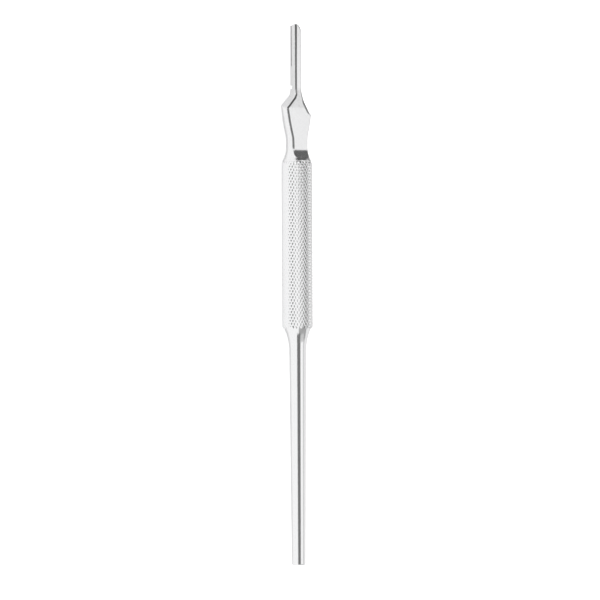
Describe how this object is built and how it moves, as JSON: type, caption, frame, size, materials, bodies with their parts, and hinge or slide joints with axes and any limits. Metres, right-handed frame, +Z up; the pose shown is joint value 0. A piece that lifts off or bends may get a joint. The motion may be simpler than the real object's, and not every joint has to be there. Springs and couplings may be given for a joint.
{
  "type": "scalpel handle",
  "caption": "Slender round steel scalpel handle: a plain rod, a diamond-knurled grip, a waisted flat head with oblique shoulders, and a narrow tongue for slide-on blades.",
  "frame": {"origin": "bottom centre of the box round the handle as it lies on its grip", "axes": "+Y along the handle towards the blade tongue, +Z up out of the plain back of the head, +X to the right seen from above with the tongue pointing away"},
  "size_m": [0.0083, 0.145, 0.0082],
  "materials": {
    "steel": "polished stainless steel, satin on the flats, fine diamond knurl on the grip"
  },
  "bodies": {
    "root": {"handle": "steel"}
  },
  "joints": []
}
